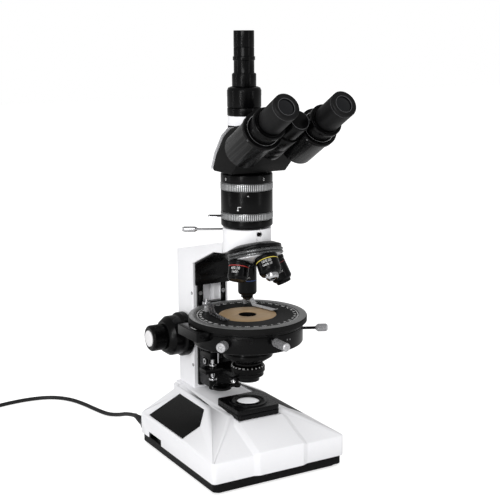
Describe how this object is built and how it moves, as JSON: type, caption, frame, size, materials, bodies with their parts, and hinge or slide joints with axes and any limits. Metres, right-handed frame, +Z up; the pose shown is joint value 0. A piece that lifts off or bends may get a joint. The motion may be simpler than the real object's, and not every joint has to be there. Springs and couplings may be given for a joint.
{
  "type": "polarizing microscope",
  "caption": "Trinocular polarizing microscope with a rotating graduated stage, revolving nosepiece, condenser and lit base",
  "frame": {"origin": "on the bench, under the middle of the instrument's footprint without its cord", "axes": "+Z up, +X to the instrument's right, the user sits at -Y and the arm stands at +Y"},
  "size_m": [0.3765, 0.4674, 0.4809],
  "materials": {
    "white_paint": "satin white paint",
    "black_paint": "black anodised or painted, satin",
    "stage_black": "black with a grey rim",
    "tube_black": "black anodised, satin",
    "rubber": "matt rubber",
    "steel": "machined steel",
    "brass": "pale brass, fine turned",
    "lens": "clear",
    "cord": "black vinyl",
    "switch": "moulded",
    "electronics": "circuit board and heat sink"
  },
  "bodies": {
    "stand": {"base_cover": "white_paint", "base_plate": "black_paint", "base_screws": "steel", "rubber_skid": "rubber", "inlay_panels": "black_paint", "control_housings": "black_paint", "lamp_housing": "black_paint", "field_lens": "lens", "led_module": "electronics", "driver_board": "electronics", "arm": "white_paint", "guide_rails": "steel", "guide_cover": "black_paint", "arm_screws": "steel", "nosepiece_mount": "black_paint", "analyser_tube": "tube_black", "cord_gland": "cord", "power_cord": "cord", "cord_coil": "cord", "plug": "cord"},
    "switch": {"power_switch": "switch"},
    "dimmer": {"brightness_wheel": "switch"},
    "coarse_drive": {"coarse_shaft": "steel", "coarse_knobs": "black_paint"},
    "fine_drive": {"fine_shaft": "steel", "fine_knobs": "black_paint"},
    "stage_carriage": {"carriage_block": "black_paint", "carriage_rack": "steel", "stage_drum": "black_paint", "stage_vernier": "black_paint"},
    "stage_table": {"stage_disc": "stage_black", "stage_insert": "brass"},
    "left_clip": {"left_clip": "steel"},
    "right_clip": {"right_clip": "steel"},
    "stage_lock": {"stage_lock": "steel"},
    "front_centring_screw": {"front_centring_screw": "steel"},
    "left_centring_screw": {"left_centring_screw": "steel"},
    "condenser": {"condenser_carrier": "black_paint", "condenser_barrel": "black_paint"},
    "lift_screw": {"lift_screw": "steel"},
    "polarizer": {"polarizer_ring": "black_paint"},
    "iris": {"iris_ring": "black_paint"},
    "filter": {"filter_holder": "steel"},
    "nosepiece": {"turret": "black_paint", "turret_band": "steel", "objective_4x": "black_paint", "objective_10x": "black_paint", "objective_40x": "black_paint", "objective_60x": "black_paint"},
    "analyser": {"analyser_ring": "tube_black"},
    "bertrand": {"bertrand_ring": "tube_black"},
    "compensator": {"compensator_slider": "steel"},
    "head": {"head_housing": "tube_black", "hub_cap": "black_paint", "phototube": "tube_black"},
    "left_tube": {"left_barrel": "tube_black", "left_eyepiece": "tube_black"},
    "right_tube": {"right_barrel": "tube_black", "right_eyepiece": "tube_black"},
    "dioptre": {"dioptre_ring": "tube_black"}
  },
  "joints": [
    {"name": "switch_rock", "type": "hinge", "parent": "stand", "child": "switch", "pos_m": [-0.0794, 0.07837, 0.0168], "axis": [0, 0, 1], "range_deg": [-5, 5]},
    {"name": "brightness_turn", "type": "hinge", "parent": "stand", "child": "dimmer", "pos_m": [0.07085, 0.07837, 0.0168], "axis": [0, 0, 1], "range_deg": [-140, 140]},
    {"name": "stage_focus", "type": "slide", "parent": "stand", "child": "stage_carriage", "axis": [0, 0, 1], "range_m": [-0.006, 0.014]},
    {"name": "coarse_turn", "type": "hinge", "parent": "stand", "child": "coarse_drive", "pos_m": [0, 0.11187, 0.1277], "axis": [1, 0, 0], "range_deg": [-102, 44]},
    {"name": "fine_turn", "type": "hinge", "parent": "stand", "child": "fine_drive", "pos_m": [0, 0.11187, 0.1277], "axis": [1, 0, 0], "continuous": true},
    {"name": "stage_turn", "type": "hinge", "parent": "stage_carriage", "child": "stage_table", "pos_m": [0, 0.00487, 0.1684], "axis": [0, 0, 1], "continuous": true},
    {"name": "left_clip_swing", "type": "hinge", "parent": "stage_table", "child": "left_clip", "pos_m": [-0.0334, 0.03917, 0.1814], "axis": [0, 0, 1], "range_deg": [-35, 30]},
    {"name": "right_clip_swing", "type": "hinge", "parent": "stage_table", "child": "right_clip", "pos_m": [0.021, 0.04787, 0.1814], "axis": [0, 0, 1], "range_deg": [-30, 35]},
    {"name": "stage_lock_turn", "type": "hinge", "parent": "stage_carriage", "child": "stage_lock", "pos_m": [0, 0.00487, 0.1544], "axis": [0.898, -0.4399, 0], "range_deg": [-360, 360]},
    {"name": "front_centring_turn", "type": "hinge", "parent": "stage_carriage", "child": "front_centring_screw", "pos_m": [-0.004, -0.05513, 0.1564], "axis": [0, -1, 0], "range_deg": [-360, 360]},
    {"name": "left_centring_turn", "type": "hinge", "parent": "stage_carriage", "child": "left_centring_screw", "pos_m": [0, 0.00487, 0.1539], "axis": [-0.7848, -0.6198, 0], "range_deg": [-360, 360]},
    {"name": "condenser_lift", "type": "slide", "parent": "stage_carriage", "child": "condenser", "axis": [0, 0, 1], "range_m": [-0.004, 0.003]},
    {"name": "lift_screw_turn", "type": "hinge", "parent": "condenser", "child": "lift_screw", "pos_m": [-0.0208, 0.04987, 0.0814], "axis": [0, 0, 1], "range_deg": [-722, 542]},
    {"name": "polarizer_turn", "type": "hinge", "parent": "condenser", "child": "polarizer", "pos_m": [0, 0.00487, 0.1104], "axis": [0, 0, 1], "continuous": true},
    {"name": "iris_turn", "type": "hinge", "parent": "condenser", "child": "iris", "pos_m": [0, 0.00487, 0.1042], "axis": [0, 0, 1], "range_deg": [-40, 40]},
    {"name": "filter_swing", "type": "hinge", "parent": "condenser", "child": "filter", "pos_m": [-0.0035, 0.02387, 0.0851], "axis": [0, 0, 1], "range_deg": [0, 103.4]},
    {"name": "nosepiece_turn", "type": "hinge", "parent": "stand", "child": "nosepiece", "pos_m": [0, 0.00487, 0.2984], "axis": [0, 0.309, 0.9511], "continuous": true},
    {"name": "analyser_turn", "type": "hinge", "parent": "stand", "child": "analyser", "pos_m": [0, 0.00487, 0.2847], "axis": [0, 0, 1], "range_deg": [0, 90]},
    {"name": "bertrand_turn", "type": "hinge", "parent": "stand", "child": "bertrand", "pos_m": [0, 0.00487, 0.3164], "axis": [0, 0, 1], "range_deg": [-30, 30]},
    {"name": "compensator_slide", "type": "slide", "parent": "stand", "child": "compensator", "axis": [-0.8572, 0.515, 0], "range_m": [-0.002, 0.012]},
    {"name": "head_turn", "type": "hinge", "parent": "stand", "child": "head", "pos_m": [0, 0.00487, 0.3324], "axis": [0, 0, 1], "continuous": true},
    {"name": "left_tube_swing", "type": "hinge", "parent": "head", "child": "left_tube", "pos_m": [0, -0.13113, 0.4104], "axis": [0, -0.866, 0.5], "range_deg": [-15, 25]},
    {"name": "right_tube_swing", "type": "hinge", "parent": "head", "child": "right_tube", "pos_m": [0, -0.13113, 0.4104], "axis": [0, -0.866, 0.5], "range_deg": [-25, 15]},
    {"name": "dioptre_turn", "type": "hinge", "parent": "left_tube", "child": "dioptre", "pos_m": [-0.033, -0.13113, 0.4104], "axis": [0, -0.866, 0.5], "range_deg": [-150, 150]}
  ],
  "couplings": [
    {"joint": "coarse_turn", "follows": "stage_focus", "rad_per_m": -125},
    {"joint": "lift_screw_turn", "follows": "condenser_lift", "rad_per_m": 3141.6},
    {"joint": "right_tube_swing", "follows": "left_tube_swing", "ratio": -1}
  ]
}
